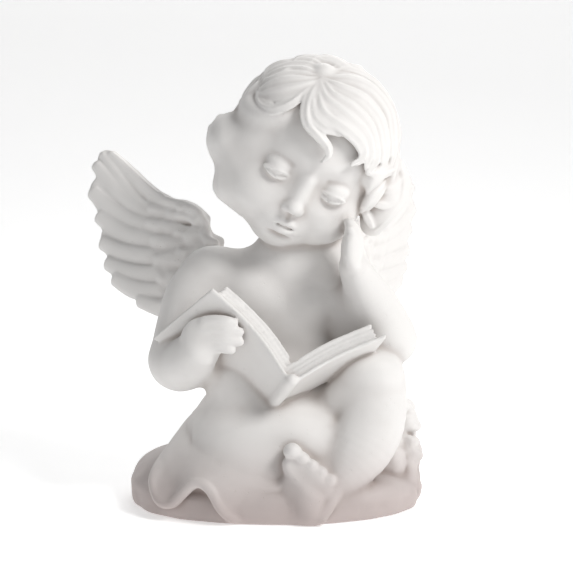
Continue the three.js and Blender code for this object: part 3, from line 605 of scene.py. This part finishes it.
hair = {
    "cap": 22.8, "scalp": 22.9, "grooveDepth": 0.4,
    # the hairline over the brow: mm to the left, then mm up
    "hairline": ((-24, -18, -15, -12.4, -11, -8, 0, 8, 14, 18),
                 (3, 6, 8.5, 12.5, 15.5, 18, 16, 14, 11, 8)),
    # locks: degrees round from the face to the left ear, degrees above the ears, half width, lift
    "fringe": [
        [(-43, 56, 0.9, 0), (-34, 43, 1.5, 0.6), (-27, 32, 1.7, 0.9), (-20, 25, 1.5, 1),
         (-9, 21, 1.3, 0.8), (0, 17, 1.1, 0.6), (3, 12, 0.8, 0.5), (1, 6, 0.45, 0.2)],
        [(-42, 57, 0.9, 0), (-29, 41, 1.5, 0.6), (-20, 32, 1.6, 0.8), (-8, 29, 1.5, 0.7),
         (4, 29, 0.8, 0.4)],
        [(-41, 57, 1, 0), (-24, 43, 1.7, 0.6), (-12, 37, 2, 0.9), (4, 35, 2.1, 1.1), (18, 31, 2, 1.2),
         (27, 25, 1.8, 1.1), (28, 18, 1.2, 0.8), (22, 12, 0.5, 0.4)],
        [(-41, 57, 1, 0), (-22, 48, 1.8, 0.6), (-4, 45, 2.2, 1), (14, 41, 2.3, 1.3), (28, 34, 2.1, 1.3),
         (34, 24, 1.7, 1), (35, 13, 0.7, 0.5)],
        [(-41, 59, 1, 0), (-17, 53, 1.9, 0.6), (8, 51, 2.3, 1.1), (27, 43, 2.4, 1.4),
         (37, 31, 2.1, 1.2), (42, 20, 1.7, 0.9), (40, 10, 0.7, 0.5)],
        [(-41, 60, 1.1, 0), (-14, 62, 2.1, 0.6), (20, 60, 2.6, 1.2), (42, 48, 2.7, 1.5),
         (49, 33, 2.4, 1.3), (53, 20, 1.8, 0.9), (52, 10, 0.7, 0.5)],
        [(-43, 63, 1.1, 0), (-9, 75, 2.3, 0.6), (50, 71, 2.8, 1.2), (65, 53, 2.9, 1.5),
         (62, 36, 2.6, 1.3), (67, 22, 1.8, 0.8), (68, 11, 0.8, 0.5)],
        [(-50, 68, 1.1, 0), (-100, 84, 2.4, 0.5), (122, 72, 3, 0.9), (98, 56, 3, 1.1),
         (84, 40, 2.8, 1.1), (82, 22, 1.8, 0.8), (88, 10, 0.9, 0.5)],
    ],
    "temple": [
        [(-45, 58, 1.2, 0), (-50, 47, 2.8, 0.6), (-58, 36, 4, 1), (-65, 27, 3.6, 1.3),
         (-71, 20, 2.2, 1.4), (-77, 20, 1.1, 1.3)],
        [(-42, 50, 0.9, 0.2), (-41, 40, 1.1, 0.8), (-42, 29, 1.3, 1.3), (-49, 19, 1.3, 1.7),
         (-60, 15.5, 1.2, 1.9), (-69, 17, 1, 2), (-73, 22, 0.8, 1.9), (-75, 28, 0.5, 1.6)],
        [(-50, 60, 1.2, 0), (-64, 53, 2.6, 0.7), (-75, 42, 3.2, 0.9), (-81, 30, 3, 0.8),
         (-83, 18, 1.8, 0.6)],
        [(-56, 66, 1.2, 0), (-84, 60, 2.8, 0.5), (-94, 46, 3.2, 0.7), (-94, 30, 3, 0.8),
         (-92, 14, 2, 0.8)],
    ],
    "roll": [
        (-44, 30, -2.6, 2), (-48, 20, -2.2, 2.6), (-58, 11, -1.6, 3.2), (-72, 8, -1.2, 3.6),
        (-86, 10, -1.6, 3.4),
    ],
    # smooth curls over the right ear: place in mm, then radii
    "curls": [
        ((-11.6, -5, 105.2), (8, 9, 7.8)), ((-9.4, -5, 99.6), (7.2, 8, 6.4)),
        ((-11.6, -5, 92.2), (6.2, 7, 5.4)), ((-6.4, -7, 97), (8, 9, 10)),
        ((-4, -9, 107), (7, 8, 8)), ((-7, -4, 88.4), (5, 6, 4)),
    ],
    # hair that hangs behind the left cheek, with the short curls on its front: mm, then radii
    "hanging": [(27.5, -1, 99, 6.4), (29.6, -0.5, 92, 6.6), (29.4, 0.5, 86, 5.6),
                (27.6, 1.5, 80.5, 3.6)],
    "curlsBeside": [
        [(25.8, -9.2, 98.8, 0.7, 0.5), (28.6, -8.6, 97.2, 1.5, 0.8), (31.6, -6.8, 96.4, 1.8, 0.9),
         (34.6, -4, 97.2, 1.1, 0.7)],
        [(25.2, -8.8, 94.8, 0.7, 0.5), (28.4, -7.8, 92.6, 1.6, 0.9), (31.8, -6, 91.8, 1.9, 1),
         (35, -3.2, 93.6, 1.1, 0.8)],
        [(24.8, -8.2, 90.4, 0.7, 0.5), (27.8, -7, 88, 1.5, 0.9), (31, -5.4, 87.2, 1.8, 1),
         (34, -2.6, 88.8, 1.1, 0.8)],
        [(35, -3.2, 98, 1.3, 0.9), (36.2, -2, 93.4, 2, 1.1), (35.2, -1.8, 88.6, 2.2, 1.2),
         (32.8, -2.8, 84.6, 2, 1.1), (30.2, -2.8, 81.4, 1.4, 0.9), (28.2, -2, 79.4, 0.7, 0.6)],
        [(24.8, -6.4, 86.4, 0.9, 0.7), (26, -4.8, 83.4, 1.6, 0.9), (27.2, -3.2, 80.6, 1.2, 0.8)],
    ],
    "ringlets": [
        [(39, 10, 0.8, 0.1), (48, 10, 1.2, 0.4), (60, 11, 1.5, 0.8), (73, 12, 1.4, 1.2),
         (82, 16, 0.9, 1)],
        [(84, 20, 1.8, 0.9), (80, 12, 2.2, 1.4), (79, 4, 2.1, 2), (82, -4, 1.7, 2.2),
         (90, -10, 1, 1.4)],
    ],
    # behind: degrees above, locks
    "rows": [(78, 8), (62, 13), (40, 16), (16, 17), (-8, 16), (-30, 13)],
    # a lock behind: part of its swing, of its fall, of its half width, of its lift, and more lift
    "swirl": [(-0.3, 0.55, 0.5, 0.3, 0), (0.5, 0.2, 0.95, 0.8, 0), (0.9, -0.25, 1, 1, 0.2),
              (0.4, -0.7, 0.75, 1, 0.5), (-0.5, -0.95, 0.35, 1, 0.4)],
}


def onScalp(turned, above, lift):
    far = hair["scalp"] + lift
    a, b = math.radians(turned), math.radians(above)
    way = np.array((math.cos(b) * math.sin(a), -math.cos(b) * math.cos(a), math.sin(b)))
    return headCentre + headSpin @ (way * far)


def fromHead(points):
    return points - headCentre


def lock(field, steps, high=0.55, grooves=2, lean=0):
    # an oval strand laid along the scalp, its height some part of its half width
    stations = [[*onScalp(turned, above, lift * 0.75 - 0.4), half * 1.3, min(half * high + 0.3, 2.2)]
                for turned, above, half, lift in steps]
    ribbon(field, stations, fromHead, 0.45, 8 * len(steps), grooves, hair["grooveDepth"], lean)


def behindLocks():
    # rows of curved locks over the back of the head, from crown to nape: each starts under the
    # row above, swings to one side and back as it falls, and its tip curls the other way
    rng = np.random.default_rng(11)
    for row, (above, many) in enumerate(hair["rows"]):
        for i in range(many):
            first, last = 68, 296 if above > 30 else 276
            turned = first + (last - first) * (i + 0.5 * (row % 2) + rng.uniform(-0.15, 0.15)) / many
            if above > 60:  # these go all round, but for the fringe
                turned = 360 * i / many + 20 * row
                if -72 < (turned + 180) % 360 - 180 < 95:
                    continue
            way = 1 if (i + row) % 2 else -1
            swing = rng.uniform(5, 10) * way / max(math.cos(math.radians(above)), 0.35)
            fall, half, lift = rng.uniform(15, 20), rng.uniform(2.3, 3.1), rng.uniform(0.2, 0.9)
            yield [(turned + a * swing, above + b * fall, c * half, d * lift + e)
                   for a, b, c, d, e in hair["swirl"]]


def makeHair(own, field):
    cap = hair["cap"]
    part = window(headCentre - cap, headCentre + cap, block["reach"])
    u, v, w = ownAxes(part, headCentre, headSpin)
    distance = eggDistance(u, v - 0.4, w - 0.2, (cap, cap, cap))
    # the brow is kept clear: everything in front of and below the hairline, which arches
    arch = np.interp(u, *hair["hairline"])
    tilt = math.radians(14)
    front = (v + 9.6) * math.cos(tilt) + (w - arch) * math.sin(tilt) * 0.25
    under = (w - arch) - 0.2 * (v + 20)
    sides = np.where(u > 0, u - 17.4, -u - 22)
    brow = np.maximum(np.maximum(front, under), sides)
    join(own, part, -softLeast(-distance, brow, 1.2), 0.1)
    # the right side is smooth: its curls and the roll above them melt into brow and cheek
    for centre, radii in hair["curls"]:
        egg(field, centre, radii, 4)
    roll = [[*onScalp(turned, above, lift), radius] for turned, above, lift, radius in hair["roll"]]
    limb(field, roll, 3, 20)
    # each curl is wound as a spiral on its outer side: rho falls from 0.95 to 0.3 over 1.7 turns
    t = np.linspace(0, 1, 16)[:, None]
    angle, rho = 3.4 * np.pi * t - 0.6, 0.95 - 0.65 * t
    way = np.hstack([-np.sqrt(1 - rho**2), rho * np.cos(angle), rho * np.sin(angle)])
    way[:, 1] = way[:, 1] * 0.8 + 0.35 * (1 - np.abs(way[:, 1]))
    for centre, radii in hair["curls"][:3]:
        along = np.array(centre) + way * (np.array(radii) - 0.5)
        spiral = np.hstack([along, 1.5 - 0.5 * t, 0.8 + 0 * t])
        ribbon(own, spiral, lambda points, middle=centre: points - np.array(middle), 0.5, 60)
    limb(own, hair["hanging"], 2, 20)
    for stations in hair["curlsBeside"]:
        ribbon(own, stations, (0.35, -1, 0), 0.5, 24, 2, 0.22)
    # swells under the locks at crown, left ear and nape
    egg(own, onScalp(-60, 66, -2.2), (4, 4, 4), 1.5)
    egg(own, onScalp(52, 8, -4.2), (5, 4.4, 5), 3)
    egg(own, onScalp(180, -38, -7), (14, 8, 8), 5, headSpin)
    for steps in behindLocks():
        lock(own, steps)
    for name in ("temple", "fringe", "ringlets"):
        for steps in hair[name]:
            broad = max(step[2] for step in steps)
            lock(own, steps, 0.5 if broad < 3 else 0.4, 3 if broad > 2.9 else 2, 0.2)


# Feather lines are given as (out, up) in a wing's own plane, root first, then the half width.
wing = {
    "outline": [
        (-3, -4), (6, -10), (14, -11.4), (22, -10.2), (27.2, -8), (31.4, -5.8), (36.6, -2.2), (38.2, 1),
        (39.4, 5), (40.6, 7.4), (42.2, 11), (41.6, 15.4), (43.8, 20), (46.2, 24.4), (45.6, 27.6),
        (44, 30), (43.8, 35.4), (41.2, 38), (37.2, 36.6), (29.5, 30.3), (23.4, 25.8), (18.6, 23.8),
        (13.5, 23.4), (9.8, 20.6), (8.6, 16.6), (7.6, 11.5), (5.2, 5), (0, -1),
    ],
    "quills": [
        ([(8, -6), (15, -7.6), (22, -8.2), (28.5, -6.8)], 2.7),
        ([(9, -2.6), (17, -3.4), (25, -3.8), (31, -3.2), (36.6, -0.6)], 3),
        ([(11, 1.4), (20, 1.2), (27, 1.2), (33.4, 1.8), (39.2, 4)], 3),
        ([(12, 6), (22, 6.4), (29.7, 6.8), (35.6, 7.6), (41, 10)], 3),
        ([(13, 10.4), (22.3, 11), (30.8, 12.2), (37, 14.4), (42.4, 17.8)], 3),
        ([(15, 14.4), (25, 15.2), (33.4, 17.4), (39.6, 20.8), (44.8, 25)], 3),
        ([(18, 17.8), (26.6, 18.8), (34, 23), (39.6, 28.4), (43.8, 33)], 2.5),
        ([(20, 20.2), (27.6, 21.6), (33.6, 26.4), (38.6, 32), (41.8, 36)], 1.9),
        ([(9, 18), (14, 21), (19.9, 22.3), (26.4, 25.6), (33.1, 31), (39.4, 36.2)], 2.2),
    ],
    "coverts": [
        ([(6, -5), (12, -5.8), (18.8, -5)], 3), ([(6, -0.4), (13, -0.6), (21.4, 0)], 3.1),
        ([(7, 4.6), (14.6, 5), (22.8, 5.4)], 3.1), ([(8, 9.4), (15.6, 10.2), (24, 10.8)], 3),
        ([(9, 13.8), (17, 15), (25.6, 16)], 2.6), ([(11, 17.6), (18, 18.8), (25.4, 20.4)], 2),
    ],
    "small": [
        ([(3, -2.6), (7, -3), (12.4, -3)], 2.8), ([(3, 2), (8, 2.2), (13.4, 2.4)], 2.9),
        ([(4, 6.8), (9, 7.4), (15, 7.8)], 2.8), ([(5, 11.4), (10.4, 12.6), (16.4, 13.2)], 2.6),
    ],
    "rim": [(5.4, 4, 2), (8.4, 13, 2), (10.6, 19.2, 2.1), (15, 21.8, 1.9), (20, 22.6, 1.5),
            (25.6, 23.6, 1)],
    # how each kind of feather is laid: height, join width, steps
    "rows": {"quills": (0.9, 0.4, 26), "coverts": (1.25, 0.6, 14), "small": (1.5, 0.6, 14)},
    "blade": (0.95, 1.9, 9), "tipLean": 0.55, "roughness": 0.42,
    "places": [
        {"root": (-13.5, 12, 61.5), "outward": (-0.94, 0.34, 0), "upward": (0, 0.1, 1), "size": 1},
        {"root": (18.4, 13.4, 60), "outward": (0.62, 0.78, -0.03), "upward": (0.05, 0.1, 1),
         "size": 0.835},
    ],
}


def polygonDistance(a, b, corners):
    # distance to a flat outline, negative inside: the least distance to its edges, its sign from
    # how many edges a ray crosses
    least = np.full(a.shape, 1e9, np.float32)
    inside = np.zeros(a.shape, bool)
    for (ax, ay), (bx, by) in zip(corners, np.roll(corners, -1, 0)):
        ex, ey = bx - ax, by - ay
        t = np.clip(((a - ax) * ex + (b - ay) * ey) / (ex * ex + ey * ey), 0, 1)
        least = np.minimum(least, (a - ax - t * ex) ** 2 + (b - ay - t * ey) ** 2)
        crosses = ((ay > b) != (by > b)) & (a < ex * (b - ay) / (ey if ey else 1e-9) + ax)
        inside ^= crosses
    far = np.sqrt(least)
    return np.where(inside, -far, far)


def bladeHalf(out):
    # half the blade's thickness: thick at the shoulder, thin at the tips
    thin, more, reach = wing["blade"]
    return thin + more * np.exp(-np.maximum(out, 0) / reach)


def makeWing(own, place, rough, fine):
    root, size = np.array(place["root"], float), place["size"]
    out = np.array(place["outward"], float)
    out /= np.linalg.norm(out)
    up = np.array(place["upward"], float)
    up -= (up @ out) * out
    up /= np.linalg.norm(up)
    facing = np.cross(out, up)
    facing *= -np.sign(facing[1])

    def placed(across, above):
        return root + across * size * out + above * size * up

    outline = smoothPath(np.array(wing["outline"], float) * size, 70)
    edge = root + outline[:, :1] * out + outline[:, 1:] * up
    part = window(edge.min(0) - 3, edge.max(0) + 3, 2)
    a, b, c = ownAxes(part, root, np.stack([out, up, facing], 1))
    blade = -softLeast(-polygonDistance(a, b, outline), size * bladeHalf(a / size) - np.abs(c), 1.2)
    join(own, part, np.clip(blade, -6, 6), 0.1)
    for side in (1, -1):
        # the lean lets each feather lap over the next one down
        lean = wing["tipLean"] * (1 if out[0] < 0 else -1) * side
        for name, (height, width, steps) in wing["rows"].items():
            for points, half in wing[name]:
                # narrow at its root, broad, then rounded off, standing off the blade
                tapers = [0.75] + [1] * (len(points) - 2) + [0.8]
                feather = []
                for (p, q), taper in zip(points, tapers):
                    at = placed(p, q) + side * facing * bladeHalf(p) * size * 0.72
                    feather.append([*at, half * size * taper, height * size])
                ribbon(own, feather, side * facing, width, steps, 0, 0, lean)
    limb(own, [[*placed(p, q), r * size] for p, q, r in wing["rim"]], 1.6, 24)
    egg(own, root - facing + out - up * 2, (5, 5, 7.5), 3)
    # the cast is rougher towards the shoulder
    worn = np.exp(-((a / size - 12) / 11) ** 2)
    own[part] -= wing["roughness"] * (fine[part] + 0.7 * rough[part]) * worn


def skinOf(field):
    # In every cell that the surface passes through, one corner: the middle of the points where
    # its twelve edges cross the surface. Each crossed edge of the block then gets one quad
    # between its four cells.
    inside = field < 0
    corner = np.array(list(np.ndindex(2, 2, 2)))
    total = sum(inside[i:i - 1 or None, j:j - 1 or None, k:k - 1 or None].astype(np.uint8)
                for i, j, k in corner)
    active = (total > 0) & (total < 8)
    cells = np.argwhere(active)
    number = np.full(active.shape, -1, np.int32)
    number[active] = np.arange(len(cells))
    values = np.stack([field[tuple((cells + c).T)] for c in corner], 1)
    middle = np.zeros((len(cells), 3))
    crossings = np.zeros((len(cells), 1))
    for p, q in np.argwhere(np.abs(corner[:, None] - corner).sum(2) == 1):
        if p < q:
            crossed = ((values[:, p] < 0) != (values[:, q] < 0))[:, None]
            f = values[:, p, None] / np.where(crossed, values[:, p, None] - values[:, q, None], 1)
            middle += np.where(crossed, corner[p] + f * (corner[q] - corner[p]), 0)
            crossings += crossed
    points = (cells + middle / crossings) * cell + low
    quads = []
    for axis in range(3):
        others = [(axis + 1) % 3, (axis + 2) % 3]
        one, two = [slice(1, -1)] * 3, [slice(1, -1)] * 3
        one[axis], two[axis] = slice(None, -1), slice(1, None)
        edges = np.argwhere(inside[tuple(one)] != inside[tuple(two)])
        edges[:, others] += 1
        u, v = np.eye(3, dtype=int)[others]
        quad = np.stack([number[tuple((edges - d).T)] for d in (0 * u, u, u + v, v)], 1)
        outward = inside[tuple(edges.T)]
        quad[outward] = quad[outward][:, ::-1]
        quads.append(quad[:, ::-1])
    return points, np.concatenate(quads)


def largestPiece(points, quads):
    # labels spread from corner to corner along the quads until nothing changes; the skin with
    # the most corners is kept, so loose crumbs and closed pockets go
    label = np.arange(len(points))
    one, two = quads.ravel(), np.roll(quads, -1, 1).ravel()
    before = None
    while before is None or (label != before).any():
        before = label.copy()
        least = np.minimum(label[one], label[two])
        np.minimum.at(label, one, least)
        np.minimum.at(label, two, least)
        label = label[label[label]]
    names, sizes = np.unique(label, return_counts=True)
    kept = label == names[sizes.argmax()]
    return points[kept], (np.cumsum(kept) - 1)[quads[kept[quads[:, 0]]]]


def sampled(values, points):
    # the value at each point, drawn linearly between the eight cells round it
    at = (points - low) / cell
    i = np.clip(np.floor(at).astype(int), 0, count - 2)
    f = at - i
    total = np.zeros(len(points))
    for c in np.ndindex(2, 2, 2):
        share = np.prod(np.where(np.array(c), f, 1 - f), axis=1)
        total += share * values[tuple((i + c).T)]
    return total


def buildStone():
    rough, fine = noiseBlock(5, 1), noiseBlock(2.2, 2)
    field = emptyBlock()

    def lay(name, width, make, *more):
        # a form is made in a block of its own, then joined to the stone
        own = emptyBlock()
        make(own, *more)
        field[:] = softLeast(field, own, width)
        say(name)

    makePlinth(field, rough)
    makeRock(field, rough, fine)
    say("plinth and rock")
    lay("cloth", 1, makeCloth)
    lay("trunk and limbs", 2.6, addForms, body["forms"])
    soften(field, *cloth["softBox"], round(cloth["softReach"] / cell), cloth["softEdge"])
    lay("hands", 1.6, makeHands)
    lay("foot", 1.2, makeFoot)
    lay("book", 0.5, makeBook)
    lay("face", 1.6, makeFace)
    lay("hair", 0.4, makeHair, field)
    for place in wing["places"]:
        lay("wing", 1.2, makeWing, place, rough, fine)
    field -= 0.05 * fine + 0.06 * rough
    # flat underside
    z = axes[2][None, None, :]
    return -softLeast(-field, np.broadcast_to(z, field.shape), 0.5).astype(np.float32)


stoneField = buildStone()
points, quads = largestPiece(*skinOf(stoneField))
say("skin of %d corners, %d quads" % (len(points), len(quads)))

mesh = bpy.data.meshes.new("cherubFigure")
mesh.vertices.add(len(points))
mesh.vertices.foreach_set("co", (points / 1000).ravel())
mesh.loops.add(quads.size)
mesh.loops.foreach_set("vertex_index", quads.ravel().astype(np.int32))
mesh.polygons.add(len(quads))
mesh.polygons.foreach_set("loop_start", np.arange(0, quads.size, 4, dtype=np.int32))
mesh.polygons.foreach_set("loop_total", np.full(len(quads), 4, np.int32))
mesh.update(calc_edges=True)
mesh.validate()
statue = bpy.data.objects.new("cherubFigure", mesh)
bpy.context.scene.collection.objects.link(statue)
triangles = 2 * len(quads)
if triangles > block["mostFaces"]:
    thin = statue.modifiers.new("thin", "DECIMATE")
    thin.ratio = block["mostFaces"] / triangles
    bpy.context.view_layer.objects.active = statue
    statue.select_set(True)
    bpy.ops.object.modifier_apply(modifier="thin")
mesh = statue.data
say("thinned to %d faces" % len(mesh.polygons))

# painted shade and painted highlight for the stone's colour: how much stone lies round each corner, so
# that hollows are darkened as shade and crests lightened as highlight
place = np.zeros(len(mesh.vertices) * 3, np.float32)
mesh.vertices.foreach_get("co", place)
place = place.reshape(-1, 3).astype(np.float64) * 1000
filled = np.clip(0.5 - stoneField / (2 * cell), 0, 1).astype(np.float32)
near = sampled(boxBlur(filled, max(1, round(1.2 / cell))), place)
wide = sampled(boxBlur(filled, round(4.0 / cell)), place)
paintedShadeMask = np.clip((near - 0.5) * 1.6 + (wide - 0.5) * 1.2 + 0.5, 0, 1)
mesh.attributes.new("paintedShadeMask", "FLOAT", "POINT").data.foreach_set("value", paintedShadeMask.astype(np.float32))
mesh.polygons.foreach_set("use_smooth", np.ones(len(mesh.polygons), bool))
mesh.update()
say("hollows and crests")

# the colour for hollows is painted shade, the colour for crests a painted highlight, and the colour
# towards the foot painted shade with a warm painted reflection
stone = {
    "color": (0.72, 0.70, 0.685), "paintedHollowShade": (0.50, 0.46, 0.435), "paintedCrestHighlight": (0.79, 0.775, 0.76),
    "paintedFootShade": (0.63, 0.555, 0.545), "footShadeHeight": 0.027, "blotches": 0.22,
    "roughness": 0.62, "grainSize": 0.00035, "grainHeight": 0.000034, "pitSize": 0.0011,
}


def addNode(tree, kind, sockets=None, **settings):
    # a shader node with its settings and its sockets
    node = tree.nodes.new("ShaderNode" + kind)
    for name, value in settings.items():
        setattr(node, name, value)
    wire(tree, node, sockets or {})
    return node


def wire(tree, node, sockets):
    # sets each socket, or wires it from an output or from a node's first output
    for name, value in sockets.items():
        if isinstance(value, bpy.types.Node):
            value = value.outputs[0]
        if isinstance(value, bpy.types.NodeSocket):
            tree.links.new(value, node.inputs[name])
        else:
            node.inputs[name].default_value = value


def grainGroup():
    # cast grain: fine sand-like noise and a few air pits, as one height, and a mask of blotches
    group = bpy.data.node_groups.new("castGrain", "ShaderNodeTree")
    group.interface.new_socket("Vector", in_out="INPUT", socket_type="NodeSocketVector")
    for name, way in (("Grain Scale", "INPUT"), ("Pit Scale", "INPUT"), ("Height", "OUTPUT"),
                      ("Blotches", "OUTPUT")):
        group.interface.new_socket(name, in_out=way, socket_type="NodeSocketFloat")
    given, target = group.nodes.new("NodeGroupInput").outputs, group.nodes.new("NodeGroupOutput")
    place = given["Vector"]
    grain = addNode(group, "TexNoise", {"Vector": place, "Scale": given["Grain Scale"], "Detail": 4,
                                        "Roughness": 0.65})
    cells = addNode(group, "TexVoronoi", {"Vector": place, "Scale": given["Pit Scale"]})
    pit = addNode(group, "MapRange", {"Value": cells.outputs["Distance"], "From Min": 0.05,
                                      "From Max": 0.17, "To Min": 1, "To Max": 0})
    # only some of the cells hold a pit
    chance = addNode(group, "SeparateColor", {"Color": cells.outputs["Color"]})
    some = addNode(group, "Math", {0: chance, 1: 0.86}, operation="GREATER_THAN")
    pits = addNode(group, "Math", {0: pit, 1: some}, operation="MULTIPLY")
    height = addNode(group, "Math", {0: pits, 1: -3, 2: grain}, operation="MULTIPLY_ADD")
    blotches = addNode(group, "TexNoise", {"Vector": place, "Scale": 60, "Detail": 3})
    wire(group, target, {"Height": height, "Blotches": blotches})
    return group


def makeStone():
    material = bpy.data.materials.new("whiteStone")
    material.use_nodes = True
    tree = material.node_tree
    place = addNode(tree, "TexCoord").outputs["Object"]
    grain = addNode(tree, "Group", node_tree=grainGroup())
    wire(tree, grain, {"Vector": place, "Grain Scale": 1 / stone["grainSize"],
                       "Pit Scale": 1 / stone["pitSize"]})
    # painted shade in the hollows and painted highlight on the crests, made uneven by the blotches
    paintedShadeMask = addNode(tree, "Attribute", attribute_name="paintedShadeMask").outputs["Fac"]
    hollowShadeAndBlotches = addNode(tree, "Math", {0: grain.outputs["Blotches"], 1: stone["blotches"], 2: paintedShadeMask},
                     operation="MULTIPLY_ADD")
    ramp = addNode(tree, "ValToRGB", {"Fac": hollowShadeAndBlotches})
    steps = ramp.color_ramp.elements
    steps[0].position, steps[0].color = 0.45, (*stone["paintedCrestHighlight"], 1)
    steps[1].position, steps[1].color = 1, (*stone["paintedHollowShade"], 1)
    steps.new(0.66).color = (*stone["color"], 1)
    # painted shade towards the foot: the colour is darker there, with a warm painted reflection
    height = addNode(tree, "SeparateXYZ", {"Vector": place}).outputs["Z"]
    footShadeMask = addNode(tree, "MapRange", {"Value": height, "From Min": stone["footShadeHeight"],
                                          "From Max": 0}, interpolation_type="SMOOTHSTEP")
    footShaded = addNode(tree, "Mix", data_type="RGBA", blend_type="MULTIPLY")
    wire(tree, footShaded, {"Factor": footShadeMask, "A": ramp, "B": (*stone["paintedFootShade"], 1)})
    # crests are rubbed a little smoother
    dull = addNode(tree, "MapRange", {"Value": hollowShadeAndBlotches, "From Min": 0.35, "From Max": 0.85,
                                      "To Min": stone["roughness"] - 0.08,
                                      "To Max": stone["roughness"] + 0.22})
    bump = addNode(tree, "Bump", {"Strength": 1, "Distance": stone["grainHeight"],
                                  "Height": grain.outputs["Height"]})
    wire(tree, tree.nodes["Principled BSDF"], {"Base Color": footShaded.outputs["Result"], "Roughness": dull,
                                               "Normal": bump, "IOR": 1.5, "Metallic": 0})
    return material


statue.data.materials.append(makeStone())
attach(statue, "root")
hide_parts("cherub")

studio = {
    "floor": (0.9, 0.9, 0.9), "floorGlow": 0.42,
    "paperFront": -0.9, "paperBend": 0.45, "bendRadius": 0.35, "paperTop": 1.6,  # metres
    "target": (3, 0, 62.5), "elevation": 9, "distance": 560, "lens": 122.5, "lampTarget": (3, 0, 65),
    "lamps": [
        # place in mm, size in mm, watts, colour
        ((340, -260, 420), 180, 2.05, (1, 0.99, 0.98)),
        ((-380, -260, 200), 380, 0.05, (0.97, 0.98, 1)),
        ((60, 330, 420), 300, 0.6, (1, 1, 1)),
    ],
    "sky": (1, 1, 1), "skyStrength": 0.26,
}


def makeFloor():
    # a sheet of backdrop paper: flat, then rising behind in a quarter circle
    bend, r, top = studio["paperBend"], studio["bendRadius"], studio["paperTop"]
    curve = [(bend + r * math.sin(t), r * (1 - math.cos(t))) for t in np.linspace(0, math.pi / 2, 14)]
    run = [(studio["paperFront"], 0), *curve, (bend + r, top)]
    verts = [(x, y, z - 0.0001) for y, z in run for x in (-top, top)]
    faces = [(2 * i, 2 * i + 1, 2 * i + 3, 2 * i + 2) for i in range(len(run) - 1)]
    sheet = bpy.data.meshes.new("backdrop")
    sheet.from_pydata(verts, [], faces)
    sheet.polygons.foreach_set("use_smooth", [True] * len(faces))
    material = bpy.data.materials.new("backdropPaper")
    material.use_nodes = True
    wire(material.node_tree, material.node_tree.nodes["Principled BSDF"],
         {"Base Color": (*studio["floor"], 1), "Roughness": 0.9, "Emission Color": (1, 1, 1, 1),
          "Emission Strength": studio["floorGlow"]})
    sheet.materials.append(material)
    return addObject("backdrop", sheet)


def addObject(name, data):
    holder = bpy.data.objects.new(name, data)
    bpy.context.scene.collection.objects.link(holder)
    return holder


def lookAlong(holder, way):
    holder.rotation_mode = "QUATERNION"
    holder.rotation_quaternion = way.to_track_quat("-Z", "Y")


def makeLamp(place, size, watts, color):
    lamp = bpy.data.lights.new("softLamp", "AREA")
    lamp.shape = "DISK"
    lamp.size, lamp.energy, lamp.color = size / 1000, watts, color
    holder = addObject("softLamp", lamp)
    holder.location = Vector(place) / 1000
    lookAlong(holder, Vector(studio["lampTarget"]) / 1000 - holder.location)


def makeCamera():
    camera = bpy.data.cameras.new("camera")
    camera.lens, camera.sensor_width = studio["lens"], 36
    camera.clip_start, camera.clip_end = 0.01, 20
    holder = addObject("camera", camera)
    e = math.radians(studio["elevation"])
    way = Vector((0, math.cos(e), -math.sin(e)))
    holder.location = (Vector(studio["target"]) - way * studio["distance"]) / 1000
    lookAlong(holder, way)
    bpy.context.scene.camera = holder


makeFloor()
for lampSettings in studio["lamps"]:
    makeLamp(*lampSettings)
makeCamera()
world = bpy.data.worlds.new("studio")
world.use_nodes = True
background = world.node_tree.nodes["Background"]
wire(world.node_tree, background, {"Color": (*studio["sky"], 1), "Strength": studio["skyStrength"]})
bpy.context.scene.world = world
bpy.context.scene.view_settings.view_transform = "Standard"
say("material, lights and camera")
